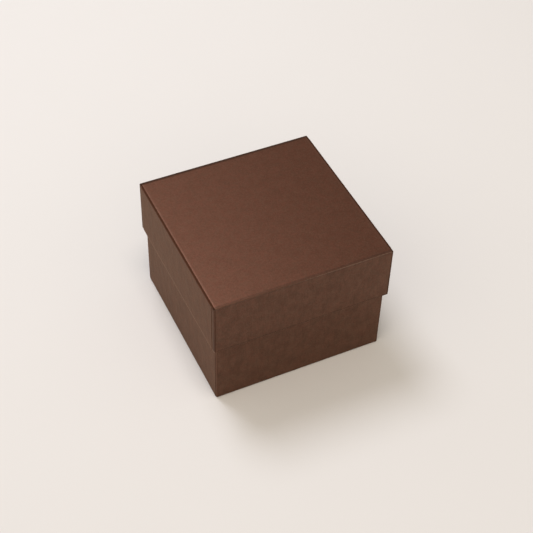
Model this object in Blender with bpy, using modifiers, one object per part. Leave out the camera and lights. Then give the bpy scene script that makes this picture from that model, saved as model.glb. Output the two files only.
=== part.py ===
"""Chocolate gift box with a lift-off lid, in metres, +Z up, standing on the origin.

The lid and the base are rigid trays. Each is a scored and folded board with its corners taped,
wrapped in brown paper that is turned in over the rim. Inside stand two tiers of slotted dividers
with a card between them. Every length below is the real one.
"""

import math

import bmesh
import bpy
from mathutils import Matrix, Vector

MM = 0.001

# The whole box, across the walls without overlapping paper
LID_SIDE = 127.0 * MM
BOX_HEIGHT = 91.0 * MM
LID_HEIGHT = 40.8 * MM

# The sheets that it is made of
BOARD_THICKNESS = 1.2 * MM
WRAP_THICKNESS = 0.2 * MM
STAY_THICKNESS = 0.1 * MM
LINING_THICKNESS = 0.15 * MM
GLUE_LINE = 0.05 * MM

# Folds, seams and margins
BOARD_FOLD_RADIUS = 0.7 * MM
WRAP_FOLD_RADIUS = 0.75 * MM
WRAP_RIM_RADIUS = 0.3 * MM
FOLD_SEGMENTS = 4
RIM_SEGMENTS = 2
BOARD_SEAM = 0.3 * MM
PAPER_SEAM = 0.4 * MM
LID_FLAP_SETBACK = 3.5 * MM
BASE_FLAP_SETBACK = 1.5 * MM
STAY_LEG = 12.0 * MM
STAY_END_MARGIN = 3.0 * MM
BASE_TURN_IN = 18.0 * MM
BASE_TURN_UNDER = 15.0 * MM
TURN_IN_END_GAP = 0.6 * MM
LINING_DROP = 12.0 * MM
LID_LINING_MARGIN = 0.5 * MM
BOTTOM_SHEET_MARGIN = 3.0 * MM
SHEET_CORNER_CUT = 2.0 * MM

# Fits between loose pieces
LID_CLEARANCE = 0.3 * MM
SEAT_GAP = 0.3 * MM
CUT_OVERRUN = 0.5 * MM
MERGE_DISTANCE = 0.001 * MM

# The partition
CELLS_PER_SIDE = 3
TIER_NAMES = ("lower", "upper")
DIVIDER_THICKNESS = 0.6 * MM
DIVIDER_DROP = 1.5 * MM
DIVIDER_CORNER_RADIUS = 2.0 * MM
SLOT_CLEARANCE = 0.1 * MM
SLOT_FLARE_WIDTH = 0.7 * MM
SLOT_FLARE_DEPTH = 2.0 * MM
TIER_CARD_THICKNESS = 1.0 * MM
TIER_CARD_CORNER_RADIUS = 2.0 * MM
FINGER_NOTCH_RADIUS = 9.0 * MM
ARC_STEPS = 5
NOTCH_STEPS = 16

# Across the walls, measured from the middle of the box
SKIN_STANDOFF = STAY_THICKNESS + 2 * GLUE_LINE
LID_FACE = LID_SIDE / 2
LID_BOARD_OUT = LID_FACE - WRAP_THICKNESS - SKIN_STANDOFF
LID_BOARD_IN = LID_BOARD_OUT - BOARD_THICKNESS
LID_TURN_IN_FACE = LID_BOARD_IN - GLUE_LINE - WRAP_THICKNESS
BASE_FACE = LID_TURN_IN_FACE - LID_CLEARANCE - WRAP_THICKNESS
BASE_BOARD_OUT = BASE_FACE - WRAP_THICKNESS - SKIN_STANDOFF
BASE_BOARD_IN = BASE_BOARD_OUT - BOARD_THICKNESS
BASE_TURN_IN_FACE = BASE_BOARD_IN - GLUE_LINE - WRAP_THICKNESS
BASE_LINING_FACE = BASE_TURN_IN_FACE - GLUE_LINE - LINING_THICKNESS

# Up the box, from the table
BASE_UNDERSIDE = WRAP_THICKNESS + GLUE_LINE
BASE_BOARD_BOTTOM = BASE_UNDERSIDE + WRAP_THICKNESS + SKIN_STANDOFF
BASE_BOARD_FLOOR = BASE_BOARD_BOTTOM + BOARD_THICKNESS
BASE_FLOOR = BASE_BOARD_FLOOR + GLUE_LINE + LINING_THICKNESS
LID_BOARD_TOP = BOX_HEIGHT - WRAP_THICKNESS - SKIN_STANDOFF
LID_BOARD_CEILING = LID_BOARD_TOP - BOARD_THICKNESS
LID_CEILING = LID_BOARD_CEILING - GLUE_LINE - LINING_THICKNESS
LID_RIM = BOX_HEIGHT - LID_HEIGHT
LID_BOARD_RIM = LID_RIM + WRAP_THICKNESS + GLUE_LINE
BASE_RIM = LID_CEILING - SEAT_GAP
BASE_BOARD_RIM = BASE_RIM - WRAP_THICKNESS - GLUE_LINE

# The partition's own places
DIVIDER_LENGTH = 2 * (BASE_LINING_FACE - SEAT_GAP)
TIER_STACK = BASE_RIM - DIVIDER_DROP - BASE_FLOOR
TIER_PITCH = (TIER_STACK + SEAT_GAP + TIER_CARD_THICKNESS) / len(TIER_NAMES)
DIVIDER_HEIGHT = TIER_PITCH - 2 * SEAT_GAP - TIER_CARD_THICKNESS
CELL_PITCH = (2 * BASE_LINING_FACE + DIVIDER_THICKNESS) / CELLS_PER_SIDE

CORNER_NAMES = ("front_right", "back_right", "back_left", "front_left")
SHARP_ANGLE = math.radians(35)


def clear_scene():
    for obj in list(bpy.data.objects):
        bpy.data.objects.remove(obj)


def new_collection(name, hidden=False):
    collection = bpy.data.collections.new(name)
    bpy.context.scene.collection.children.link(collection)
    collection.hide_render = hidden
    return collection


def sheet_material(name, color, roughness):
    """A paper or board finish: one colour, no metal, as dull as given."""
    material = bpy.data.materials.new(name)
    material.use_nodes = True
    shader = material.node_tree.nodes["Principled BSDF"]
    shader.inputs["Base Color"].default_value = (*color, 1.0)
    shader.inputs["Roughness"].default_value = roughness
    shader.inputs["Metallic"].default_value = 0.0
    material.diffuse_color = (*color, 1.0)
    return material


def brown_wrap_paper():
    return sheet_material("brown_wrap_paper", (0.130, 0.058, 0.038), 0.62)


def grey_board():
    return sheet_material("grey_board", (0.330, 0.290, 0.240), 0.90)


def kraft_tape():
    return sheet_material("kraft_tape", (0.480, 0.320, 0.190), 0.75)


def cream_lining_paper():
    return sheet_material("cream_lining_paper", (0.800, 0.720, 0.600), 0.80)


def divider_card():
    return sheet_material("divider_card", (0.120, 0.058, 0.040), 0.70)


def place(name, data, collection, material=None, location=(0, 0, 0), rotation=(0, 0, 0)):
    obj = bpy.data.objects.new(name, data)
    obj.location = location
    obj.rotation_euler = rotation
    if material and not obj.data.materials:
        obj.data.materials.append(material)
    collection.objects.link(obj)
    return obj


def as_tool(obj):
    """Marks an object as one that only cuts or joins others."""
    obj.hide_render = True
    obj.display_type = "WIRE"
    return obj


def mesh_from(bm, name):
    mesh = bpy.data.meshes.new(name)
    bm.to_mesh(mesh)
    bm.free()
    mesh.shade_smooth()
    mesh.set_sharp_from_angle(angle=SHARP_ANGLE)
    return mesh


def add_solidify(obj, thickness):
    """Thickens a sheet that is drawn at its middle, half to each side."""
    modifier = obj.modifiers.new("sheet_thickness", "SOLIDIFY")
    modifier.thickness = thickness
    modifier.offset = 0
    modifier.solidify_mode = "NON_MANIFOLD"
    modifier.nonmanifold_thickness_mode = "CONSTRAINTS"
    modifier.nonmanifold_boundary_mode = "FLAT"
    modifier.nonmanifold_merge_threshold = MERGE_DISTANCE


def add_cut(obj, cutter):
    modifier = obj.modifiers.new("cut_" + cutter.name, "BOOLEAN")
    modifier.operation = "DIFFERENCE"
    modifier.solver = "EXACT"
    modifier.object = cutter


def add_joined(obj, other):
    modifier = obj.modifiers.new("join_" + other.name, "BOOLEAN")
    modifier.operation = "UNION"
    modifier.solver = "EXACT"
    modifier.object = other


def arc(center, radius, start, end, steps, rise=None):
    """Points along an arc, with its angles in degrees. Its other radius is rise, if unlike."""
    rise = radius if rise is None else rise
    points = []
    for step in range(steps + 1):
        angle = math.radians(start + (end - start) * step / steps)
        points.append((center[0] + radius * math.cos(angle), center[1] + rise * math.sin(angle)))
    return points


def flat_outline(name, points, thickness, collection, material, location, rotation=(0, 0, 0)):
    """A piece cut to an outline in its own XY plane, with half its thickness on each side of it."""
    curve = bpy.data.curves.new(name, "CURVE")
    curve.dimensions = "2D"
    curve.fill_mode = "BOTH"
    curve.extrude = thickness / 2
    spline = curve.splines.new("POLY")
    spline.points.add(len(points) - 1)
    for point, (x, y) in zip(spline.points, points):
        point.co = (x, y, 0, 1)
    spline.use_cyclic_u = True
    return place(name, curve, collection, material, location, rotation)


def as_mesh(flat, collection):
    """Makes a mesh of a flat outline and welds its caps on, so that it can join another piece."""
    depsgraph = bpy.context.evaluated_depsgraph_get()
    mesh = bpy.data.meshes.new_from_object(flat.evaluated_get(depsgraph))
    bm = bmesh.new()
    bm.from_mesh(mesh)
    bmesh.ops.remove_doubles(bm, verts=bm.verts, dist=MERGE_DISTANCE)
    bm.to_mesh(mesh)
    bm.free()
    name = flat.name
    matrix = flat.matrix_world.copy()
    bpy.data.objects.remove(flat)
    solid = place(name, mesh, collection)
    solid.matrix_world = matrix
    return solid


def box_between(bm, low, high, turn=0.0):
    """A box from corner to corner, turned about the vertical axis through the origin."""
    made = bmesh.ops.create_cube(bm, size=1)["verts"]
    size = [b - a for a, b in zip(low, high)]
    middle = [(a + b) / 2 for a, b in zip(low, high)]
    bmesh.ops.scale(bm, vec=size, verts=made)
    bmesh.ops.translate(bm, vec=middle, verts=made)
    bmesh.ops.rotate(bm, cent=(0, 0, 0), matrix=Matrix.Rotation(turn, 3, "Z"), verts=made)


def folded_sheet(rings, hole=False):
    """Folds the middle of a square sheet: a panel whose edges are drawn out from ring to ring.

    Each ring is (half side, height). With hole set, the first panel is cut away.
    """
    bm = bmesh.new()
    half, height = rings[0]
    bmesh.ops.create_grid(bm, x_segments=1, y_segments=1, size=half)
    bmesh.ops.translate(bm, vec=(0, 0, height), verts=bm.verts)
    panel = list(bm.faces)
    edges = list(bm.edges)
    for half, height in rings[1:]:
        drawn = bmesh.ops.extrude_edge_only(bm, edges=edges)["geom"]
        edges = [part for part in drawn if isinstance(part, bmesh.types.BMEdge)]
        corners = [part for part in drawn if isinstance(part, bmesh.types.BMVert)]
        for corner in corners:
            corner.co.x = math.copysign(half, corner.co.x)
            corner.co.y = math.copysign(half, corner.co.y)
            corner.co.z = height
        edges = [edge for edge in edges if all(end in corners for end in edge.verts)]
    if hole:
        bmesh.ops.delete(bm, geom=panel, context="FACES_ONLY")
    return bm


def round_folds(bm, half, fold_height, radius):
    """Rounds the upright edges at this half side, and the fold that runs round at this height."""

    def at_side(vert):
        return max(abs(abs(vert.co.x) - half), abs(abs(vert.co.y) - half)) < MERGE_DISTANCE

    def at_fold(vert):
        return at_side(vert) and abs(vert.co.z - fold_height) < MERGE_DISTANCE

    edges = []
    for edge in bm.edges:
        first, second = edge.verts
        upright = at_side(first) and at_side(second) and abs(first.co.z - second.co.z) > radius
        if upright or (at_fold(first) and at_fold(second)):
            edges.append(edge)
    bmesh.ops.bevel(
        bm, geom=edges, offset=radius, offset_type="OFFSET", segments=FOLD_SEGMENTS,
        profile=0.5, affect="EDGES", clamp_overlap=True,
    )


def round_rim(bm, rim_height, radius):
    """Rounds every edge of a folded sheet that runs along its rim, outside and inside."""
    edges = []
    for edge in bm.edges:
        level = all(abs(vert.co.z - rim_height) < MERGE_DISTANCE for vert in edge.verts)
        if level and edge.calc_face_angle(0) > SHARP_ANGLE:
            edges.append(edge)
    bmesh.ops.bevel(
        bm, geom=edges, offset=radius, offset_type="OFFSET", segments=RIM_SEGMENTS,
        profile=0.5, affect="EDGES", clamp_overlap=True,
    )


def corner_slits(name, collection, nearest, farthest, low, high, width):
    """A cutter of four upright plates, one across each corner, from one half side to another."""
    bm = bmesh.new()
    for quarter in range(4):
        box_between(
            bm,
            (nearest * math.sqrt(2), -width / 2, low),
            (farthest * math.sqrt(2), width / 2, high),
            math.radians(45 + 90 * quarter),
        )
    return as_tool(place(name, mesh_from(bm, name), collection))


def board_tray(name, collection, cutters, board, outside, closed_height, open_height):
    """A scored and folded tray of board: a floor at closed_height and four walls to open_height."""
    up = 1 if open_height > closed_height else -1
    bm = bmesh.new()
    low, high = sorted((closed_height, open_height))
    box_between(bm, (-outside, -outside, low), (outside, outside, high))
    round_folds(bm, outside, closed_height, BOARD_FOLD_RADIUS)
    tray = place(name, mesh_from(bm, name), collection, board)

    inside = outside - BOARD_THICKNESS
    floor = closed_height + up * BOARD_THICKNESS
    past_rim = open_height + up * CUT_OVERRUN
    low, high = sorted((floor, past_rim))
    bm = bmesh.new()
    box_between(bm, (-inside, -inside, low), (inside, inside, high))
    cavity = as_tool(place(name + "_cavity", mesh_from(bm, name + "_cavity"), cutters))
    add_cut(tray, cavity)
    seams = corner_slits(
        name + "_seams", cutters, inside - CUT_OVERRUN, outside + CUT_OVERRUN, low, high, BOARD_SEAM
    )
    add_cut(tray, seams)


def corner_stays(prefix, collection, material, board_outside, low, high):
    """Gummed tape bent round each upright corner of a board tray, one strip to a corner."""
    face = board_outside + GLUE_LINE + STAY_THICKNESS / 2
    radius = BOARD_FOLD_RADIUS + GLUE_LINE + STAY_THICKNESS / 2
    bend = face - radius
    bm = bmesh.new()
    line = [(face, face - STAY_LEG)]
    line += arc((bend, bend), radius, 0, 90, FOLD_SEGMENTS)
    line += [(face - STAY_LEG, face)]
    verts = [bm.verts.new((x, y, low)) for x, y in line]
    edges = [bm.edges.new(pair) for pair in zip(verts, verts[1:])]
    drawn = bmesh.ops.extrude_edge_only(bm, edges=edges)["geom"]
    raised = [part for part in drawn if isinstance(part, bmesh.types.BMVert)]
    bmesh.ops.translate(bm, vec=(0, 0, high - low), verts=raised)
    mesh = mesh_from(bm, prefix)
    for index, corner in enumerate(CORNER_NAMES):
        turn = math.radians(90 * (index - 1))
        stay = place(f"{prefix}_{corner}", mesh, collection, material, rotation=(0, 0, turn))
        add_solidify(stay, STAY_THICKNESS)


def side_flaps(wrap, cutters, face, setback, fold_height, rim_height):
    """Lays the wrap's left and right flaps over its front and back ones, which pass the corners.

    A flap leaves the closed end flush, stands one sheet proud of the wall and stops short of the
    upright corners, where the paper below it shows.
    """
    up = 1 if fold_height > rim_height else -1
    bend = face - WRAP_FOLD_RADIUS
    bend_height = fold_height - up * WRAP_FOLD_RADIUS
    outer = WRAP_FOLD_RADIUS + WRAP_THICKNESS
    inner = WRAP_FOLD_RADIUS - WRAP_THICKNESS / 2
    rim = outer - inner
    outline = arc((bend, bend_height), outer, 90, 0, FOLD_SEGMENTS, up * WRAP_FOLD_RADIUS)
    outline += arc((bend + inner, rim_height + up * rim), rim, 0, -90, RIM_SEGMENTS, up * rim)
    outline += arc((bend, bend_height), inner, 0, 90, FOLD_SEGMENTS, up * inner)
    for side in (-1, 1):
        name = wrap.name + ("_left_flap" if side < 0 else "_right_flap")
        mirrored = [(side * across, height) for across, height in outline]
        flat = flat_outline(
            name, mirrored, 2 * (face - setback), cutters, wrap.data.materials[0],
            (0, 0, 0), (math.radians(90), 0, 0),
        )
        add_joined(wrap, as_tool(as_mesh(flat, cutters)))


def lid_wrap(collection, cutters, paper):
    """One sheet over the lid's top and skirt, folded round the rim and up the inside."""
    half_sheet = WRAP_THICKNESS / 2
    turn_in_end = LID_BOARD_CEILING - TURN_IN_END_GAP
    rings = [
        (LID_FACE - half_sheet, BOX_HEIGHT - half_sheet),
        (LID_FACE - half_sheet, LID_RIM + half_sheet),
        (LID_TURN_IN_FACE + half_sheet, LID_RIM + half_sheet),
        (LID_TURN_IN_FACE + half_sheet, turn_in_end),
    ]
    bm = folded_sheet(rings)
    round_folds(bm, LID_FACE - half_sheet, BOX_HEIGHT - half_sheet, WRAP_FOLD_RADIUS - half_sheet)
    round_rim(bm, LID_RIM + half_sheet, WRAP_RIM_RADIUS - half_sheet)
    wrap = place("lid_wrap", mesh_from(bm, "lid_wrap"), collection, paper)
    add_solidify(wrap, WRAP_THICKNESS)
    slits = corner_slits(
        "lid_wrap_seams", cutters, LID_TURN_IN_FACE - CUT_OVERRUN, LID_BOARD_IN + CUT_OVERRUN,
        LID_BOARD_RIM, turn_in_end + CUT_OVERRUN, PAPER_SEAM,
    )
    add_cut(wrap, slits)
    side_flaps(wrap, cutters, LID_FACE, LID_FLAP_SETBACK, BOX_HEIGHT, LID_RIM)


def base_wrap(collection, cutters, paper):
    """A band round the base, turned under its floor and turned in over its rim."""
    half_sheet = WRAP_THICKNESS / 2
    turn_in_end = BASE_RIM - BASE_TURN_IN
    rings = [
        (BASE_FACE - BASE_TURN_UNDER, BASE_UNDERSIDE + half_sheet),
        (BASE_FACE - half_sheet, BASE_UNDERSIDE + half_sheet),
        (BASE_FACE - half_sheet, BASE_RIM - half_sheet),
        (BASE_TURN_IN_FACE + half_sheet, BASE_RIM - half_sheet),
        (BASE_TURN_IN_FACE + half_sheet, turn_in_end),
    ]
    bm = folded_sheet(rings, hole=True)
    round_folds(
        bm, BASE_FACE - half_sheet, BASE_UNDERSIDE + half_sheet, WRAP_FOLD_RADIUS - half_sheet
    )
    round_rim(bm, BASE_RIM - half_sheet, WRAP_RIM_RADIUS - half_sheet)
    wrap = place("base_wrap", mesh_from(bm, "base_wrap"), collection, paper)
    add_solidify(wrap, WRAP_THICKNESS)
    slits = corner_slits(
        "base_wrap_seams", cutters, BASE_TURN_IN_FACE - CUT_OVERRUN, BASE_BOARD_IN + CUT_OVERRUN,
        turn_in_end - CUT_OVERRUN, BASE_BOARD_RIM, PAPER_SEAM,
    )
    add_cut(wrap, slits)
    mitres = corner_slits(
        "base_wrap_mitres", cutters, BASE_FACE - BASE_TURN_UNDER - CUT_OVERRUN,
        BASE_FACE - WRAP_FOLD_RADIUS, BASE_UNDERSIDE - CUT_OVERRUN,
        BASE_UNDERSIDE + WRAP_THICKNESS + CUT_OVERRUN, PAPER_SEAM,
    )
    add_cut(wrap, mitres)
    side_flaps(wrap, cutters, BASE_FACE, BASE_FLAP_SETBACK, BASE_UNDERSIDE, BASE_RIM)


def base_lining(collection, cutters, paper):
    """The paper tray that lines the base: a floor and four walls, open at the corners."""
    half_sheet = LINING_THICKNESS / 2
    top = BASE_RIM - LINING_DROP
    middle = BASE_LINING_FACE + half_sheet
    bm = folded_sheet([(middle, BASE_FLOOR - half_sheet), (middle, top)])
    lining = place("base_lining", mesh_from(bm, "base_lining"), collection, paper)
    add_solidify(lining, LINING_THICKNESS)
    slits = corner_slits(
        "base_lining_seams", cutters, BASE_LINING_FACE - CUT_OVERRUN,
        BASE_LINING_FACE + LINING_THICKNESS + CUT_OVERRUN, BASE_FLOOR, top + CUT_OVERRUN, PAPER_SEAM,
    )
    add_cut(lining, slits)


def clipped_square(half, cut):
    """A square with its four corners cut off, anticlockwise from the lower right."""
    corner = [(half, -half + cut), (half, half - cut)]
    points = []
    for quarter in range(4):
        turn = Matrix.Rotation(math.radians(90 * quarter), 2)
        points += [tuple(turn @ Vector(point)) for point in corner]
    return points


def flat_sheets(collection, lining_paper, wrap_paper):
    """The sheet pasted up inside the lid, and the one that covers the turned-under paper below."""
    flat_outline(
        "lid_lining", clipped_square(LID_TURN_IN_FACE - LID_LINING_MARGIN, SHEET_CORNER_CUT),
        LINING_THICKNESS, collection, lining_paper, (0, 0, LID_CEILING + LINING_THICKNESS / 2),
    )
    flat_outline(
        "base_bottom_sheet", clipped_square(BASE_FACE - BOTTOM_SHEET_MARGIN, SHEET_CORNER_CUT),
        WRAP_THICKNESS, collection, wrap_paper, (0, 0, WRAP_THICKNESS / 2),
    )


def divider_places():
    """How far each divider stands from the middle of the box."""
    first = -BASE_LINING_FACE - DIVIDER_THICKNESS / 2 + CELL_PITCH
    return [first + index * CELL_PITCH for index in range(CELLS_PER_SIDE - 1)]


def slot_outline(middle):
    """One half-lap slot in a top edge, from left to right, with a flared mouth."""
    half = DIVIDER_THICKNESS / 2 + SLOT_CLEARANCE
    top = DIVIDER_HEIGHT / 2
    bottom = -SLOT_CLEARANCE
    return [
        (middle - half - SLOT_FLARE_WIDTH, top),
        (middle - half, top - SLOT_FLARE_DEPTH),
        (middle - half, bottom),
        (middle + half, bottom),
        (middle + half, top - SLOT_FLARE_DEPTH),
        (middle + half + SLOT_FLARE_WIDTH, top),
    ]


def divider_outline():
    """A strip on edge with rounded corners and half-lap slots in its top edge, clockwise."""
    x = DIVIDER_LENGTH / 2 - DIVIDER_CORNER_RADIUS
    y = DIVIDER_HEIGHT / 2 - DIVIDER_CORNER_RADIUS
    points = arc((-x, y), DIVIDER_CORNER_RADIUS, 180, 90, ARC_STEPS)
    for middle in divider_places():
        points += slot_outline(middle)
    points += arc((x, y), DIVIDER_CORNER_RADIUS, 90, 0, ARC_STEPS)
    points += arc((x, -y), DIVIDER_CORNER_RADIUS, 0, -90, ARC_STEPS)
    points += arc((-x, -y), DIVIDER_CORNER_RADIUS, -90, -180, ARC_STEPS)
    return points


def divider_tier(prefix, floor, collection, card):
    """Strips across the box with their slots up, and strips from front to back with slots down."""
    middle = floor + SEAT_GAP + DIVIDER_HEIGHT / 2
    outline = divider_outline()
    upright = math.radians(90)
    for index, place_out in enumerate(divider_places()):
        flat_outline(
            f"{prefix}_divider_across_{index + 1}", outline, DIVIDER_THICKNESS, collection, card,
            (0, place_out, middle), (upright, 0, 0),
        )
        flat_outline(
            f"{prefix}_divider_lengthwise_{index + 1}", outline, DIVIDER_THICKNESS, collection, card,
            (place_out, 0, middle), (-upright, 0, upright),
        )


def tier_card_outline():
    """A square card with rounded corners and a finger notch in its left and right edges."""
    half = BASE_LINING_FACE - SEAT_GAP
    bend = half - TIER_CARD_CORNER_RADIUS
    points = []
    for quarter in range(4):
        turn = Matrix.Rotation(math.radians(90 * quarter), 2)
        side = []
        if quarter % 2 == 0:
            side = arc((half, 0), FINGER_NOTCH_RADIUS, 270, 90, NOTCH_STEPS)
        side += arc((bend, bend), TIER_CARD_CORNER_RADIUS, 0, 90, ARC_STEPS)
        points += [tuple(turn @ Vector(point)) for point in side]
    return points


def partition(collection, dividers, card):
    """The tiers of dividers, each but the lowest on a card that lies on the tier below."""
    for tier, name in enumerate(TIER_NAMES):
        floor = BASE_FLOOR + tier * TIER_PITCH
        divider_tier(name, floor, collection, dividers)
        if tier > 0:
            flat_outline(
                name + "_tier_card", tier_card_outline(), TIER_CARD_THICKNESS, collection, card,
                (0, 0, floor - TIER_CARD_THICKNESS / 2),
            )


def build():
    clear_scene()
    box = new_collection("chocolate_gift_box")
    cutters = new_collection("cutters", hidden=True)
    brown = brown_wrap_paper()
    board = grey_board()
    tape = kraft_tape()
    cream = cream_lining_paper()

    board_tray("lid_board", box, cutters, board, LID_BOARD_OUT, LID_BOARD_TOP, LID_BOARD_RIM)
    corner_stays(
        "lid_corner_stay", box, tape, LID_BOARD_OUT,
        LID_BOARD_RIM + STAY_END_MARGIN, LID_BOARD_TOP - STAY_END_MARGIN,
    )
    lid_wrap(box, cutters, brown)

    board_tray(
        "base_board", box, cutters, board, BASE_BOARD_OUT, BASE_BOARD_BOTTOM, BASE_BOARD_RIM
    )
    corner_stays(
        "base_corner_stay", box, tape, BASE_BOARD_OUT,
        BASE_BOARD_BOTTOM + STAY_END_MARGIN, BASE_BOARD_RIM - STAY_END_MARGIN,
    )
    base_wrap(box, cutters, brown)
    base_lining(box, cutters, cream)
    flat_sheets(box, cream, brown)
    partition(box, divider_card(), cream)


build()
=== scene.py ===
# %% [markdown]
# # A chocolate gift box, dressed for its photograph
#
# The box is already built to its real size: boards, tapes, wraps, linings and dividers, each a
# solid of its own. This lesson gives every one of them its finish, sets the camera where the
# photographer stood, and lights the scene like a small pale studio. We start by loading the packed
# solids, which are called the frame.

# %% Load the frame
import math

import bpy
from mathutils import Matrix, Vector


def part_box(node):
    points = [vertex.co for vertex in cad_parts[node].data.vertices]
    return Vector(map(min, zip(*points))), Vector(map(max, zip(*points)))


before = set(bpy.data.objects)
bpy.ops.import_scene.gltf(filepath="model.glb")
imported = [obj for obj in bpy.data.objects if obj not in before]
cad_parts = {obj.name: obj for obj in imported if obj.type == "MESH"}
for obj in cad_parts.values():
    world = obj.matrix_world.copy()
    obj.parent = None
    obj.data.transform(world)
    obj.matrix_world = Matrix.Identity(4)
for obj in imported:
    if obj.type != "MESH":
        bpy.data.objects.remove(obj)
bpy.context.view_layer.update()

MM = 0.001

# %% [markdown]
# ## Directions round the box
#
# A photographer says where a camera or a lamp stands as seen from the subject: how far round it,
# and how high. We do the same, with the box at the origin, its front towards -Y and angles in
# degrees. Cameras and lamps in Blender look along their own -Z axis, so a track quaternion that
# turns Z outwards makes them look back at the box. A constraint could aim them too, but a matrix
# that is set once is easier to read and to check.

# %% Directions
def direction(azimuth, elevation):
    """Outwards from the box. Azimuth 0 is the front, 90 the right, in degrees."""
    turn, rise = math.radians(azimuth), math.radians(elevation)
    return Vector((
        math.sin(turn) * math.cos(rise), -math.cos(turn) * math.cos(rise), math.sin(rise),
    ))


def looking_back(outwards):
    """The rotation of a camera or lamp that stands outwards and looks back."""
    return outwards.to_track_quat("Z", "Y").to_matrix().to_4x4()


print("the right side lies towards", [round(part, 1) for part in direction(90, 0)])

# %% [markdown]
# ## The camera
#
# A plain box is the best camera target there is: its corners give the direction, the distance and
# the lens. The corners in the photograph fit a view from 26.5 degrees to the left of the front, 46
# degrees up, through a lens of about 84 mm. The photographer also held the camera a little rolled,
# which is why the upright edges lean. A rolled camera is easiest to make in two turns: first aim
# it, then turn it about its own viewing axis.

# %% Aim the camera
VIEW_AZIMUTH, VIEW_ELEVATION, VIEW_ROLL = -26.46, 45.98, 1.87
VIEW_DISTANCE = 852.6 * MM
VIEW_TARGET = Vector((1.9 * MM, -3.1 * MM, 45.4 * MM))
LENS, CLIP_START = 83.67, 10 * MM

camera_data = bpy.data.cameras.new("photograph_camera")
camera_data.lens = LENS
camera_data.clip_start = CLIP_START
camera = bpy.data.objects.new("photograph_camera", camera_data)
bpy.context.scene.collection.objects.link(camera)
bpy.context.scene.camera = camera

towards_camera = direction(VIEW_AZIMUTH, VIEW_ELEVATION)
place = Matrix.Translation(VIEW_TARGET + VIEW_DISTANCE * towards_camera)
roll = Matrix.Rotation(math.radians(VIEW_ROLL), 4, "Z")
camera.matrix_world = place @ looking_back(towards_camera) @ roll
print("the camera stands at", [round(part, 3) for part in camera.matrix_world.translation], "m")

# %% [markdown]
# ## Small helpers for materials
#
# A procedural material is a graph of nodes. Written out by hand, each node takes four or five
# lines, and the idea drowns in them. So we make one helper that adds a node, sets its options and
# plugs in its inputs, and a second for arithmetic. An input is either a plain value or another
# node's output.

# %% Helpers that add nodes
def plug(tree, socket, value):
    """Gives a socket a link from another node's output, or else a plain value."""
    if isinstance(value, bpy.types.NodeSocket):
        tree.links.new(value, socket)
    else:
        socket.default_value = value


def add(tree, kind, inputs=None, **options):
    """Adds a node to a tree. Inputs are numbers, colours or other nodes' outputs."""
    made = tree.nodes.new(kind)
    for name, value in options.items():
        setattr(made, name, value)
    for name, value in (inputs or {}).items():
        plug(tree, made.inputs[name], value)
    return made


def calc(tree, operation, *values, clamp=False):
    """One step of arithmetic between numbers or outputs, and its output."""
    made = add(tree, "ShaderNodeMath", dict(enumerate(values)), operation=operation)
    made.use_clamp = clamp
    return made.outputs[0]


def new_finish(name):
    """A new material, its tree and its Principled shader."""
    material = bpy.data.materials.new(name)
    material.use_nodes = True
    return material, material.node_tree, material.node_tree.nodes["Principled BSDF"]


print("helpers ready: plug, add, calc and new_finish")

# %% [markdown]
# ## Mixing
#
# Blender's Mix node serves numbers, vectors and colours, and has sockets of the same name for each
# of them. Only their identifiers tell them apart, so a helper looks those up. The same node
# multiplies two colours, which is how a stain or a shade is laid over a paper without losing its
# grain.

# %% Helper that mixes
def mix(tree, factor, first, second, blend="MIX", kind="Color"):
    """A colour between two others, or a vector if kind is Vector."""
    if kind == "Color":
        made = add(tree, "ShaderNodeMix", data_type="RGBA", blend_type=blend)
    else:
        made = add(tree, "ShaderNodeMix", data_type="VECTOR")
    inputs = {each.identifier: each for each in made.inputs}
    plug(tree, inputs["Factor_Float"], factor)
    plug(tree, inputs["A_" + kind], first)
    plug(tree, inputs["B_" + kind], second)
    return next(each for each in made.outputs if each.identifier == "Result_" + kind)


print("helper ready: mix")

# %% [markdown]
# ## Grain at its real size
#
# Every solid here lies at the origin with its real coordinates in its mesh, so the Object output of
# a Texture Coordinate node is a position in metres, and it travels with the lid when the lid is
# lifted. A picture of paper would have to be unwrapped and would repeat, while a Noise texture does
# neither. Its scale counts features in one unit, so a grain of 0.4 mm is a scale of 1 / 0.0004.
# Asking for the size of the grain instead of the scale keeps the numbers honest.

# %% Helpers for places and grain
def places(tree):
    """Positions on the piece, in metres."""
    return add(tree, "ShaderNodeTexCoord").outputs["Object"]


def axes_of(tree, vector):
    """The three parts of a vector."""
    return add(tree, "ShaderNodeSeparateXYZ", {"Vector": vector}).outputs


def grain(tree, where, size, detail=3.0, stretch=(1, 1, 1), turn=(0, 0, 0), rough=0.55):
    """Soft random grain between 0 and 1, of a given size in metres, drawn out by stretch."""
    scale = [1 / (size * along) for along in stretch]
    mapped = add(
        tree, "ShaderNodeMapping", {"Vector": where, "Rotation": turn, "Scale": scale}
    ).outputs[0]
    noise = add(
        tree, "ShaderNodeTexNoise",
        {"Vector": mapped, "Scale": 1.0, "Detail": detail, "Roughness": rough},
    )
    return noise.outputs[0]


def step_up(tree, value, low, high):
    """A smooth step: 0 below low, 1 above high."""
    made = add(
        tree, "ShaderNodeMapRange", {"Value": value, "From Min": low, "From Max": high},
        interpolation_type="SMOOTHSTEP",
    )
    return made.outputs[0]


def band(tree, value, low, high, soft):
    """1 between low and high, fading to 0 over soft on each side."""
    rise = step_up(tree, value, low - soft, low)
    fall = step_up(tree, value, high, high + soft)
    return calc(tree, "SUBTRACT", rise, fall)


print("helpers ready: places, axes_of, grain, step_up and band")

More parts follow.
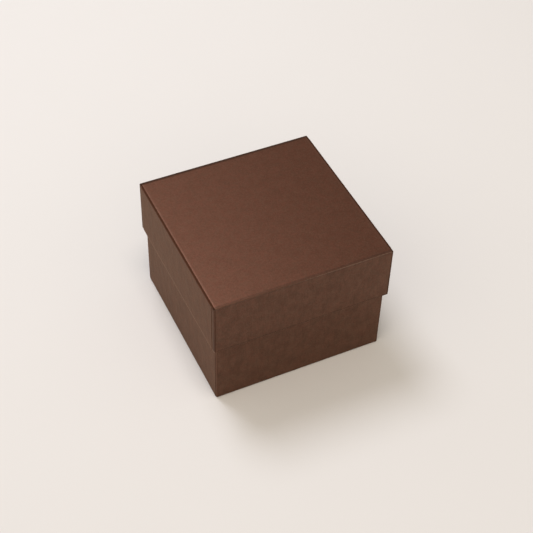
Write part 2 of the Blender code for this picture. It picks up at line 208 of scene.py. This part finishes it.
# %% [markdown]
# ## The wrapping paper: dyed pulp
#
# The wrap is a dyed paper with a faint pearl coat. Close up it is not one brown: the pulp takes the
# dye unevenly in small clouds and upright streaks, some redder and some greener. From a step away
# only a soft mottle is left. One noise could give a mottle, but a real one has several sizes at
# once, so we add three of them, each with its size in millimetres and its share of the whole.

# %% Dyed pulp
BROWN, DEEP_BROWN = (0.1375, 0.0568, 0.0372, 1), (0.1105, 0.0467, 0.0298, 1)
REDDER, GREENER = (1.03, 0.985, 0.985, 1), (0.97, 1.015, 1.015, 1)
MOTTLE_SIZE, DYE_SIZE, CLOUD_SIZE, STREAK_SIZE = 7 * MM, 3.5 * MM, 1.6 * MM, 0.8 * MM
MOTTLE_SHARE, CLOUD_SHARE, STREAK_SHARE = 0.2, 0.5, 0.3
PALE_RANGE, DYE_RANGE = (0.38, 0.62), (0.35, 0.65)


def dyed_pulp(tree, where):
    """The colour of the pulp, how pale it is from 0 to 1, and its clouds and streaks."""
    cloud = grain(tree, where, CLOUD_SIZE, detail=4.0, rough=0.7)
    streak = grain(tree, where, STREAK_SIZE, detail=2.0, stretch=(1, 1, 8))
    patches = calc(tree, "MULTIPLY", grain(tree, where, MOTTLE_SIZE), MOTTLE_SHARE)
    patches = calc(tree, "MULTIPLY_ADD", cloud, CLOUD_SHARE, patches)
    patches = calc(tree, "MULTIPLY_ADD", streak, STREAK_SHARE, patches)
    pale = step_up(tree, patches, *PALE_RANGE)
    dye = step_up(tree, grain(tree, where, DYE_SIZE, detail=2.0), *DYE_RANGE)
    body = mix(tree, pale, DEEP_BROWN, BROWN)
    return mix(tree, 1.0, body, mix(tree, dye, REDDER, GREENER), "MULTIPLY"), pale, cloud, streak


print("clouds of", round(CLOUD_SIZE / MM, 1), "mm, mottle of", round(MOTTLE_SIZE / MM, 1), "mm")

# %% [markdown]
# ## The wrapping paper: fibres and felt
#
# Fibres lie in the paper as short pale hairs, and between them its surface is a fine felt. A hair
# is a grain that is drawn out nine times in one direction, and two such grains, turned against each
# other, look like fibres that fell at random. The same noises give the surface its height, so
# colour and relief agree, and the clouds of the pulp swell a little too.

# %% Fibres and felt
# This pale is the colour of the hairs, and later also of the painted highlights along edges.
PALE_FIBRE_AND_HIGHLIGHT = (0.2600, 0.1700, 0.1350, 1)
FELT_SIZE, FIBRE_SIZE = 0.35 * MM, 0.16 * MM
HAIR_RANGE = (0.60, 0.78)
HAIR_SHARE, HAIR_HEIGHT, SWELL_HEIGHT = 0.2, 0.35, 1.5


def brown_paper(tree, where):
    """The colour, the height and the paleness of the paper's own surface."""
    body, pale, cloud, streak = dyed_pulp(tree, where)
    along, across = [
        grain(tree, where, FIBRE_SIZE, detail=1.0, stretch=stretch, turn=turn)
        for stretch, turn in (((9, 1, 1), (0.3, 0.2, 0.4)), ((1, 9, 1), (0.2, 0.5, 0.3)))
    ]
    hairs = step_up(tree, calc(tree, "MAXIMUM", along, across), *HAIR_RANGE)
    felt = grain(tree, where, FELT_SIZE, detail=2.0)
    height = calc(tree, "MULTIPLY_ADD", hairs, HAIR_HEIGHT, felt)
    for swell in (streak, cloud):
        height = calc(tree, "MULTIPLY_ADD", swell, SWELL_HEIGHT, height)
    return mix(tree, calc(tree, "MULTIPLY", hairs, HAIR_SHARE), body, PALE_FIBRE_AND_HIGHLIGHT), height, pale


print("felt of", round(FELT_SIZE / MM, 2), "mm, fibres of", round(FIBRE_SIZE / MM, 2), "mm")

# %% [markdown]
# ## Which way a surface faces
#
# The painted shade and highlights on a wrapped box lie along its folds, so we need to know where
# they are. The Normal output of a Texture Coordinate node tells which way a surface faces. Squared,
# its three parts are shares that add up to one: all of it in one part on a flat wall, and split
# between two parts on the rounded paper of a fold. The product of two shares is then a mask for
# exactly one family of folds. It is a quarter at most, in the middle of the fold, so it is taken
# four times.

# %% Masks for walls and folds
X_RANGE, Y_RANGE, LEVEL_RANGE = (0.05, 0.30), (0.50, 0.95), (0.20, 0.80)
FOLD_GAIN = 4.0


def all_of(tree, *masks):
    """1 only where every mask is 1. A number among them weakens the whole."""
    result = masks[0]
    for mask in masks[1:]:
        result = calc(tree, "MULTIPLY", result, mask)
    return result


def facings(tree):
    """Masks of the left and right walls, the front and back walls, level faces and folds."""
    normal = add(tree, "ShaderNodeTexCoord").outputs["Normal"]
    squares = [calc(tree, "MULTIPLY", part, part) for part in axes_of(tree, normal)]
    total = calc(tree, "ADD", calc(tree, "ADD", squares[0], squares[1]), squares[2])
    x, y, z = [calc(tree, "DIVIDE", square, total) for square in squares]
    return {
        "x": step_up(tree, x, *X_RANGE),
        "y": step_up(tree, y, *Y_RANGE),
        "level": step_up(tree, z, *LEVEL_RANGE),
        "fold": calc(tree, "MULTIPLY", all_of(tree, y, z), FOLD_GAIN, clamp=True),
    }


print("a face counts as level from a share of", LEVEL_RANGE[0], "on")

# %% [markdown]
# ## How far a point is from an edge
#
# The marks sit at fixed distances from edges: painted shade along a crease at the top and on a
# strip beside a corner, a painted highlight along a rim. So we turn a position on a wrap into four
# distances in metres. The solid's own box tells where its edges are. The lid's wrap is closed at
# the top and the base's at the bottom, which is why the closed end has to be told.

# %% Distances from the edges of a wrap
SOFT_EDGE = 0.25 * MM


def edge_distances(tree, where, node, closed_at_top):
    """Metres from the closed end, the rim, the front or back and the left or right of a wrap."""
    low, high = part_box(node)
    x, y, z = axes_of(tree, where)
    ends = [calc(tree, "SUBTRACT", high[2], z), calc(tree, "SUBTRACT", z, low[2])]
    closed, rim = ends if closed_at_top else reversed(ends)
    return {
        "closed": closed,
        "rim": rim,
        "end": calc(tree, "SUBTRACT", high[1], calc(tree, "ABSOLUTE", y)),
        "side": calc(tree, "SUBTRACT", high[0], calc(tree, "ABSOLUTE", x)),
    }


def near(tree, distance, reach, fade=SOFT_EDGE):
    """1 within reach of an edge, fading to 0 beyond it."""
    return calc(tree, "SUBTRACT", 1.0, step_up(tree, distance, reach, reach + fade))


print("edges fade over", round(SOFT_EDGE / MM, 2), "mm")

# %% [markdown]
# ## How strong each mark is
#
# Both papers get the same marks: painted shade along creases, bent edges and the ear strip,
# painted highlights along folds and rims, and the pale cut edge. One table for each says how strong
# they are there, from 0 to 1, stronger on the lid, since the base stands half hidden in it. The
# next steps make the marks in turn.

# %% Tables of marks
LID_MARKS = {
    "crease_and_shade": 1.0, "corner": 0.6, "bent": 1.0, "ear": 1.0, "cut": 0.35, "fold": 0.5,
    "inner_highlight": 0.06, "rim": 0.9, "rim_shade": 0.22,
}
BASE_MARKS = {
    "crease_and_shade": 0.3, "corner": 0.2, "bent": 0.5, "ear": 0.3, "cut": 0.1, "fold": 0.1,
    "inner_highlight": 0.0, "rim": 0.3, "rim_shade": 0.1,
}
print("marks of the lid:", LID_MARKS)

# %% [markdown]
# ## Painted shade along the creases
#
# The left and right flaps were creased hard over the lid's edge and burnished down with a bone
# folder. Along that crease, and along the upright corners where the sheet was pulled round the
# board, a dark line of painted shade is laid into the colour. A crease lies within reach of two
# faces at once, so it is the product of two distance masks. The shade multiplies the colour, so the
# grain stays.

# %% Creases
# Painted shade: the colour that creases and upright corners are multiplied by.
CREASE_SHADE = (0.60, 0.56, 0.50, 1)
CREASE_REACH, CREASE_DEPTH = 1.3 * MM, 0.15 * MM
CORNER_FROM, CORNER_TO, CORNER_DEPTH = 0.9 * MM, 1.4 * MM, 0.3 * MM


def painted_crease_shade(tree, at, marks):
    """Where painted shade darkens creases and upright corners, from 0 to 1; it also roughens them.
    """
    flap_shade = near(tree, at["side"], CREASE_REACH)
    flap_shade = all_of(tree, flap_shade, near(tree, at["closed"], CREASE_DEPTH), marks["crease_and_shade"])
    corner_shade = band(tree, at["side"], CORNER_FROM, CORNER_TO, SOFT_EDGE)
    corner_shade = all_of(tree, corner_shade, near(tree, at["end"], CORNER_DEPTH), marks["corner"])
    return calc(tree, "MAXIMUM", flap_shade, corner_shade)


print("creases reach", round(CREASE_REACH / MM, 1), "mm in from the edge")

# %% [markdown]
# ## Painted shade along the bent edges
#
# The front and back edges were only bent, and leave no line. Along them the colour gets a greyer,
# darker painted shade, as wide as the paper that went round the bend, ending softly. It is the same
# product of two distance masks as a crease, but wider and with a longer fade.

# %% Bent edges
# Painted shade: the colour that the bent edges are multiplied by.
BENT_SHADE = (0.75, 0.84, 0.94, 1)
BENT_REACH, BENT_FADE = 1.6 * MM, 1.2 * MM


def bent_edge_shade(tree, color, at, marks):
    """The colour, with a greyer painted shade along the front and back edges."""
    bent = near(tree, at["end"], BENT_REACH, BENT_FADE)
    bent = all_of(tree, bent, near(tree, at["closed"], 0.0, BENT_REACH), marks["bent"])
    return mix(tree, bent, color, BENT_SHADE, "MULTIPLY")


print("bent edges are", round((BENT_REACH + BENT_FADE) / MM, 1), "mm wide")

# %% [markdown]
# ## The ear beside the flap
#
# The front and back walls send an ear round each corner, and the side flap is glued over it. A
# narrow strip of the ear stays bare beside the flap. It gets a darker, greyer painted shade, most
# towards the rim. The flap's cut edge shows the pale inside of the paper as a fine line. The solids
# have the real step there, so here it only needs its two colours.

# %% Ear and cut edge
# Painted shade: the colour that the bare strip of the ear is multiplied by, most near the rim.
EAR_SHADE = (0.62, 0.70, 0.80, 1)
EAR_SHADE_FADE, SHADE_REACH, SHADE_RISE, LEAST_EAR_SHADE = 0.9 * MM, 3 * MM, 30 * MM, 0.35
CUT_WIDTH = 0.35 * MM


def ear_strip(tree, color, faces, at, width, marks):
    """The colour, with painted shade on the bare strip of the ear, and the pale cut edge of the
    flap.
    """
    shade_by_rim = near(tree, at["rim"], SHADE_REACH, SHADE_RISE)
    shade_by_rim = calc(tree, "MULTIPLY_ADD", shade_by_rim, 1 - LEAST_EAR_SHADE, LEAST_EAR_SHADE)
    bare = near(tree, at["end"], width - 2 * EAR_SHADE_FADE, EAR_SHADE_FADE)
    bare = all_of(tree, bare, faces["x"], shade_by_rim, marks["ear"])
    cut = band(tree, at["end"], width, width + CUT_WIDTH, SOFT_EDGE)
    cut = all_of(tree, cut, faces["x"], marks["cut"])
    return mix(tree, cut, mix(tree, bare, color, EAR_SHADE, "MULTIPLY"), PALE_FIBRE_AND_HIGHLIGHT)


print("cut edges", round(CUT_WIDTH / MM, 2), "mm wide")

# %% [markdown]
# ## Painted highlights on folds and rims
#
# Along some edges a painted highlight is laid in the pale colour of the fibres. On this lid that is
# the rim of the two side walls, and the front and back folds, more towards the right. A faint one
# also runs on the top just inside the hard crease. A coarse noise breaks the highlights up, so
# that they are never even. The rim of the front and back gets a fine line of painted shade instead.

# %% Rubbed edges
# Where the painted highlights lie and how strongly; the rim shade is a painted shade line.
RIGHTWARD_RANGE, LEAST_RIGHTWARD = (-20 * MM, 30 * MM), 0.2
INNER_HIGHLIGHT_FROM, INNER_HIGHLIGHT_TO, INNER_HIGHLIGHT_DEPTH = 1.8 * MM, 2.6 * MM, 0.1 * MM
RIM_DEPTH, RIM_SHADE = 1.0 * MM, (0.0, 0.0, 0.0, 1)
HIGHLIGHT_PATCH, PATCH_RANGE, LEAST_HIGHLIGHT = 1.2 * MM, (0.3, 0.6), 0.5


def edge_highlights_and_shade(tree, color, where, faces, at, marks):
    """Painted highlights on folds and side rims, painted shade on the front and back rims."""
    rightward = step_up(tree, axes_of(tree, where)[0], *RIGHTWARD_RANGE)
    rightward = calc(tree, "MULTIPLY_ADD", rightward, 1 - LEAST_RIGHTWARD, LEAST_RIGHTWARD)
    fold = all_of(tree, faces["fold"], rightward, marks["fold"])
    inner_highlight = band(tree, at["side"], INNER_HIGHLIGHT_FROM, INNER_HIGHLIGHT_TO, 2 * SOFT_EDGE)
    inner_highlight = all_of(
        tree, inner_highlight, faces["level"], near(tree, at["closed"], INNER_HIGHLIGHT_DEPTH), marks["inner_highlight"]
    )
    rim = near(tree, at["rim"], RIM_DEPTH)
    painted_highlight = calc(tree, "MAXIMUM", fold, all_of(tree, rim, faces["x"], marks["rim"]))
    painted_highlight = calc(tree, "MAXIMUM", painted_highlight, inner_highlight)
    patches = step_up(tree, grain(tree, where, HIGHLIGHT_PATCH), *PATCH_RANGE)
    patches = calc(tree, "MULTIPLY_ADD", patches, 1 - LEAST_HIGHLIGHT, LEAST_HIGHLIGHT)
    color = mix(tree, all_of(tree, painted_highlight, patches), color, PALE_FIBRE_AND_HIGHLIGHT)
    shade = all_of(tree, rim, faces["y"], marks["rim_shade"])
    return mix(tree, shade, color, RIM_SHADE, "MULTIPLY")


# The side rims carry a painted highlight this deep.
print("rims are rubbed", round(RIM_DEPTH / MM, 1), "mm deep")

# %% [markdown]
# ## The pearl coat
#
# The coat is what makes the top glow towards the light: fine mica flakes that mirror in the paper's
# own brown. It could be a second shader laid over the first. A share of metallic does it in one,
# because a metal's reflections take the base colour, and the rest stays plain paper. The specular
# tint keeps the walls brown where they are seen at a flat angle, where an untinted coat turns
# milky. Crushed flakes no longer mirror, so a crease is rough.

# %% Pearl coat
PEARL_SHARE = 0.62
PEARL_TINT = (0.57, 0.41, 0.26, 1)
PEARL_ROUGHNESS, ROUGHER_PALE, ROUGHER_CREASED = 0.38, 0.04, 0.5


def pearl_coat(tree, shader, pale, crease_and_shade):
    """Gives the shader its sheen."""
    rough = calc(tree, "MULTIPLY_ADD", pale, ROUGHER_PALE, PEARL_ROUGHNESS)
    rough = calc(tree, "MULTIPLY_ADD", crease_and_shade, ROUGHER_CREASED, rough, clamp=True)
    tree.links.new(rough, shader.inputs["Roughness"])
    shader.inputs["Metallic"].default_value = PEARL_SHARE
    shader.inputs["Specular Tint"].default_value = PEARL_TINT


print("pearl share", PEARL_SHARE)

# %% [markdown]
# ## Bowed panels with soft edges
#
# Paper glued on one side of a board shrinks as it dries and bows the board, here by less than a
# millimetre, and never evenly: this lid bends more on its right half than on its left. That is too
# little to see as a shape, but it turns the sheen, which is why the top is bright on one side. The
# top is also pressed a little soft near its edges, most at the front and back where the paper is
# only bent, so the light goes over them gradually, while the walls are stiff up to their corners.
# The solids are straight and stay as they are. A bump gets all this as a height in real metres: a
# parabola for the bow, a cubic for its unevenness, and a round shoulder along each edge.

# %% Shape of the board
BOW_ACROSS, BOW_ALONG, UNEVEN = 0.90 * MM, 0.02 * MM, 0.55 * MM
SHOULDERS = {
    "side": (2.4 * MM, 9 * MM), "end": (3.2 * MM, 5 * MM), "closed": (1.6 * MM, 5 * MM),
}


def board_shape(tree, where, at, half, edges):
    """The height of a bowed panel with soft edges, in metres. Half is half the panel's side."""
    x, y = [calc(tree, "DIVIDE", part, half) for part in axes_of(tree, where)[:2]]
    height = calc(tree, "MULTIPLY", calc(tree, "MULTIPLY", x, x), -BOW_ACROSS)
    height = calc(tree, "MULTIPLY_ADD", calc(tree, "MULTIPLY", y, y), -BOW_ALONG, height)
    height = calc(tree, "MULTIPLY_ADD", x, UNEVEN, height)
    height = calc(tree, "MULTIPLY_ADD", calc(tree, "POWER", x, 3.0), -UNEVEN * 2 / 3, height)
    for edge in edges:
        width, radius = SHOULDERS[edge]
        inside = calc(tree, "MAXIMUM", calc(tree, "SUBTRACT", width, at[edge]), 0.0)
        square = calc(tree, "MULTIPLY", inside, inside)
        height = calc(tree, "MULTIPLY_ADD", square, -0.5 / radius, height)
    return height


print("the panels bow by", round(BOW_ACROSS / MM, 1), "mm")

# %% [markdown]
# ## Ripples and felt
#
# On the walls the glue leaves flat ripples, and the felt of the paper lies over everything. Bump
# nodes are chained through their Normal inputs: the board's shape first, then the ripples, then the
# felt. One bump of the three heights added up would do as well, but a chain lets each have its own
# depth and strength.

# %% Relief
RIPPLE_DEPTH, FELT_DEPTH, FELT_STRENGTH = 0.08 * MM, 0.03 * MM, 0.35


def board_normal(tree, where, at, half, level):
    """The normal of the top's soft panel and of the stiffer walls."""
    wall, top = [
        add(tree, "ShaderNodeBump", {"Height": height, "Distance": 1.0}).outputs[0]
        for height in (
            board_shape(tree, where, at, half, ("closed",)),
            board_shape(tree, where, at, half, ("side", "end", "closed")),
        )
    ]
    return mix(tree, level, wall, top, kind="Vector")


def relief(tree, shader, normal, ripples, felt):
    """Chains ripples and felt onto the board's normal."""
    layers = ((ripples, RIPPLE_DEPTH, 1.0), (felt, FELT_DEPTH, FELT_STRENGTH))
    for height, distance, strength in layers:
        inputs = {"Height": height, "Distance": distance, "Strength": strength, "Normal": normal}
        normal = add(tree, "ShaderNodeBump", inputs).outputs[0]
    tree.links.new(normal, shader.inputs["Normal"])


print("ripples", round(RIPPLE_DEPTH / MM, 2), "mm deep, felt", round(FELT_DEPTH / MM, 2), "mm")

# %% [markdown]
# ## The two wraps
#
# Now the pieces come together, once for the lid and once for the base. The walls get a greener
# painted tint of their own, which stands in for the sheen they show at their flat angle and the
# warmer light on them, and soft darker ripples, where the glue dried unevenly. The strip of ear is
# 3.5 mm wide on the lid, read from the photograph, and 1.5 mm on the base, both as in the solids.

# %% Wrap material
# The second colour is a painted tint of the light and sheen on the walls.
WHITE, WALL_LIGHT_TINT = (1, 1, 1, 1), (1.01, 1.195, 1.31, 1)
RIPPLE_SIZE, RIPPLE_RANGE, RIPPLE_SHADE = 5 * MM, (0.3, 0.7), (0.77, 0.77, 0.77, 1)
LID_EAR, BASE_EAR = 3.5 * MM, 1.5 * MM


def wrap_finish(name, node, closed_at_top, ear_width, marks):
    """The pearl paper of one wrap."""
    material, tree, shader = new_finish(name)
    where, faces = places(tree), facings(tree)
    at = edge_distances(tree, where, node, closed_at_top)
    color, felt, pale = brown_paper(tree, where)
    # Painted tint of light and sheen on the walls.
    tint = mix(tree, faces["level"], WALL_LIGHT_TINT, WHITE)
    color = mix(tree, 1.0, color, tint, "MULTIPLY")
    ripples = grain(tree, where, RIPPLE_SIZE, detail=5.0, stretch=(1, 1, 1.6), rough=0.7)
    ripples = step_up(tree, ripples, *RIPPLE_RANGE)
    ripples = all_of(tree, ripples, calc(tree, "SUBTRACT", 1.0, faces["level"]))
    color = mix(tree, ripples, color, RIPPLE_SHADE, "MULTIPLY")

    # Painted shade along creases, bent edges and the ear strip, then painted highlights on edges.
    crease_and_shade = painted_crease_shade(tree, at, marks)
    color = mix(tree, crease_and_shade, color, CREASE_SHADE, "MULTIPLY")
    color = bent_edge_shade(tree, color, at, marks)
    color = ear_strip(tree, color, faces, at, ear_width, marks)
    color = edge_highlights_and_shade(tree, color, where, faces, at, marks)
    tree.links.new(color, shader.inputs["Base Color"])
    pearl_coat(tree, shader, pale, crease_and_shade)
    normal = board_normal(tree, where, at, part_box(node)[1][0], faces["level"])
    relief(tree, shader, normal, ripples, felt)
    return material


lid_paper = wrap_finish(
    "lid_paper", "lid_wrap", closed_at_top=True, ear_width=LID_EAR, marks=LID_MARKS
)
base_paper = wrap_finish(
    "base_paper", "base_wrap", closed_at_top=False, ear_width=BASE_EAR, marks=BASE_MARKS
)
print("two papers with", len(lid_paper.node_tree.nodes), "nodes each")

# %% [markdown]
# ## Greyboard, tape, lining and card
#
# The rest shows only when the lid is off, or where a sheet ends, but each has its own surface.
# Greyboard is pulped waste paper, with specks of every shade. Gummed tape is kraft paper with long
# fibres. The lining is a smooth cream paper, and the dividers are cut from a brown card whose
# surface is slightly glazed. They could have a graph each, but all four are pulp in two shades with
# specks in a third, so one helper makes them, with sizes that follow from the size of the grain.

# %% Inner materials
SHADES_IN_GRAINS, SPECK_IN_GRAINS = 12, 1.7
SHADE_RANGE, SPECK_RANGE = (0.35, 0.65), (0.63, 0.72)
UNEVEN_ROUGHNESS, SHEET_SPECULAR = 0.10, 0.35
SHEET_DEPTH, SHEET_STRENGTH = 0.03 * MM, 0.3


def sheet_finish(name, dark, light, speck, size, roughness, speck_share):
    """A paper or board: two shades in clouds, with specks of a third colour."""
    material, tree, shader = new_finish(name)
    where = places(tree)
    shades = grain(tree, where, SHADES_IN_GRAINS * size, detail=4.0)
    shades = step_up(tree, shades, *SHADE_RANGE)
    specks = grain(
        tree, where, SPECK_IN_GRAINS * size, detail=1.0, stretch=(3, 1, 1), turn=(0.4, 0.3, 0.7)
    )
    specks = calc(tree, "MULTIPLY", step_up(tree, specks, *SPECK_RANGE), speck_share)
    color = mix(tree, specks, mix(tree, shades, dark, light), speck)
    tree.links.new(color, shader.inputs["Base Color"])
    fine = grain(tree, where, size, detail=2.0)
    least = roughness - UNEVEN_ROUGHNESS / 2
    rough = calc(tree, "MULTIPLY_ADD", fine, UNEVEN_ROUGHNESS, least)
    tree.links.new(rough, shader.inputs["Roughness"])
    shader.inputs["Specular IOR Level"].default_value = SHEET_SPECULAR
    inputs = {"Height": fine, "Strength": SHEET_STRENGTH, "Distance": SHEET_DEPTH}
    tree.links.new(add(tree, "ShaderNodeBump", inputs).outputs[0], shader.inputs["Normal"])
    return material


greyboard = sheet_finish(
    "greyboard", dark=(0.27, 0.235, 0.19, 1), light=(0.36, 0.32, 0.265, 1),
    speck=(0.12, 0.10, 0.09, 1), size=0.5 * MM, roughness=0.9, speck_share=0.7,
)
kraft = sheet_finish(
    "kraft_tape", dark=(0.42, 0.27, 0.15, 1), light=(0.52, 0.35, 0.21, 1),
    speck=(0.28, 0.17, 0.09, 1), size=0.4 * MM, roughness=0.75, speck_share=0.5,
)
cream = sheet_finish(
    "cream_lining", dark=(0.76, 0.68, 0.56, 1), light=(0.83, 0.76, 0.64, 1),
    speck=(0.66, 0.56, 0.43, 1), size=0.35 * MM, roughness=0.8, speck_share=0.4,
)
card = sheet_finish(
    "divider_card", dark=(0.095, 0.044, 0.029, 1), light=(0.125, 0.060, 0.040, 1),
    speck=(0.20, 0.11, 0.08, 1), size=0.3 * MM, roughness=0.55, speck_share=0.3,
)
print("four inner finishes:", greyboard.name, kraft.name, cream.name, card.name)

# %% [markdown]
# ## Every solid gets its finish
#
# In the workshop the same few materials make all the pieces, so a table from piece to finish is
# enough. The four dividers of each tier and the tapes in the eight corners are found by a word in
# their names. A solid keeps its shape and its place, and only the material in its slot is changed.

# %% Dress the solids
FINISHES = {
    "lid_wrap": lid_paper, "base_wrap": base_paper, "base_bottom_sheet": base_paper,
    "lid_board": greyboard, "base_board": greyboard,
    "lid_lining": cream, "base_lining": cream, "upper_tier_card": cream,
}
for name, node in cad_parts.items():
    if "corner_stay" in name:
        FINISHES[name] = kraft
    if "divider" in name:
        FINISHES[name] = card
    node.data.materials.clear()
    node.data.materials.append(FINISHES[name])
print(len(FINISHES), "nodes dressed")

# %% [markdown]
# ## The floor
#
# The box stood on a sheet of warm white paper that fills the picture. Studios bend such a sheet up
# behind the subject, but seen from above a plane of six metres does the same and shows no horizon.
# Its colour is read from the brightest corner of the photograph, less what the lamps add, and it
# is matt, because the shadow has no mirror image in it.

# %% Floor
FLOOR_SIDE = 6.0
FLOOR_COLOR, FLOOR_DARKER = (0.744, 0.719, 0.722, 1), 0.985
FLOOR_CLOUD = 90 * MM
FLOOR_ROUGHNESS, FLOOR_SPECULAR = 0.95, 0.1
bpy.ops.mesh.primitive_plane_add(size=FLOOR_SIDE)
floor = bpy.context.object
floor.name = "studio_floor"
material, tree, shader = new_finish("floor_paper")
darker = tuple(FLOOR_DARKER * part for part in FLOOR_COLOR[:3]) + (1,)
color = mix(tree, grain(tree, places(tree), FLOOR_CLOUD), darker, FLOOR_COLOR)
tree.links.new(color, shader.inputs["Base Color"])
shader.inputs["Roughness"].default_value = FLOOR_ROUGHNESS
shader.inputs["Specular IOR Level"].default_value = FLOOR_SPECULAR
floor.data.materials.append(material)
print("a floor of", FLOOR_SIDE, "m")

# %% [markdown]
# ## Two soft lamps
#
# The shadow tells where the light came from. It falls forward and a little to the right, so the
# main source stood behind the box on the left, some 62 degrees up, and its edge is so soft that the
# source must have looked about 24 degrees wide. A second one above the box fills the shadow, and
# its warmer colour makes the shadow a little redder than the lit floor. A sun or a point light
# could be softened too, but area lights have a real size in metres, so size over distance gives the
# softness directly.

# %% Lamps
LAMP_DISTANCE = 1.9


def soft_lamp(name, azimuth, elevation, width, power, color):
    """A round soft lamp that looks at the box."""
    outwards = direction(azimuth, elevation)
    data = bpy.data.lights.new(name, "AREA")
    data.shape = "DISK"
    data.size = width
    data.energy = power
    data.color = color
    lamp = bpy.data.objects.new(name, data)
    lamp.matrix_world = Matrix.Translation(outwards * LAMP_DISTANCE) @ looking_back(outwards)
    bpy.context.scene.collection.objects.link(lamp)
    stands = [round(part, 2) for part in lamp.matrix_world.translation]
    print(name, "of", power, "W stands at", stands)


soft_lamp(
    "key_lamp", azimuth=196, elevation=62, width=0.8, power=17.2, color=(0.970, 1.000, 1.067)
)
soft_lamp(
    "top_lamp", azimuth=-10, elevation=78, width=0.6, power=8.0, color=(1.080, 1.004, 0.886)
)

# %% [markdown]
# ## The room
#
# Lamps alone would leave the walls of the box dark. In a pale room light also comes from every
# side, more from some than from others. A panorama is the usual way to bring in a room, but four
# wide glows in the world do it without a file. Each is brightest in its own direction and fades
# smoothly to nothing at the far side, as the third power of a cosine that is moved to lie between
# 0 and 1. The strongest and warmest glow stands in front, because the main lamp stands behind the
# box and its front wall is still a warm brown in the photograph.

# %% Room
GLOW_POWER = 3.0
ROOM_GLOWS = (  # azimuth, elevation and colour of each
    (-20, 10, (1.07, 0.95, 0.75)), (-90, 10, (0.45, 0.44, 0.40)), (225, 10, (0.27, 0.26, 0.24)),
    (110, 5, (0.24, 0.24, 0.21)),
)
world = bpy.data.worlds.new("studio_room")
bpy.context.scene.world = world
world.use_nodes = True
tree = world.node_tree
looking = add(tree, "ShaderNodeTexCoord").outputs["Generated"]
light = (0.0, 0.0, 0.0)
for azimuth, elevation, color in ROOM_GLOWS:
    facing = add(
        tree, "ShaderNodeVectorMath", {0: looking, 1: direction(azimuth, elevation)},
        operation="DOT_PRODUCT",
    ).outputs["Value"]
    glow = calc(tree, "POWER", calc(tree, "MULTIPLY_ADD", facing, 0.5, 0.5), GLOW_POWER)
    shone = add(tree, "ShaderNodeVectorMath", {0: color, "Scale": glow}, operation="SCALE")
    light = add(
        tree, "ShaderNodeVectorMath", {0: light, 1: shone.outputs[0]}, operation="ADD"
    ).outputs[0]
room = tree.nodes["Background"]
room.inputs["Strength"].default_value = 1.0
tree.links.new(light, room.inputs["Color"])
bpy.context.scene.view_settings.view_transform = "Standard"
print("the room has", len(ROOM_GLOWS), "glows")
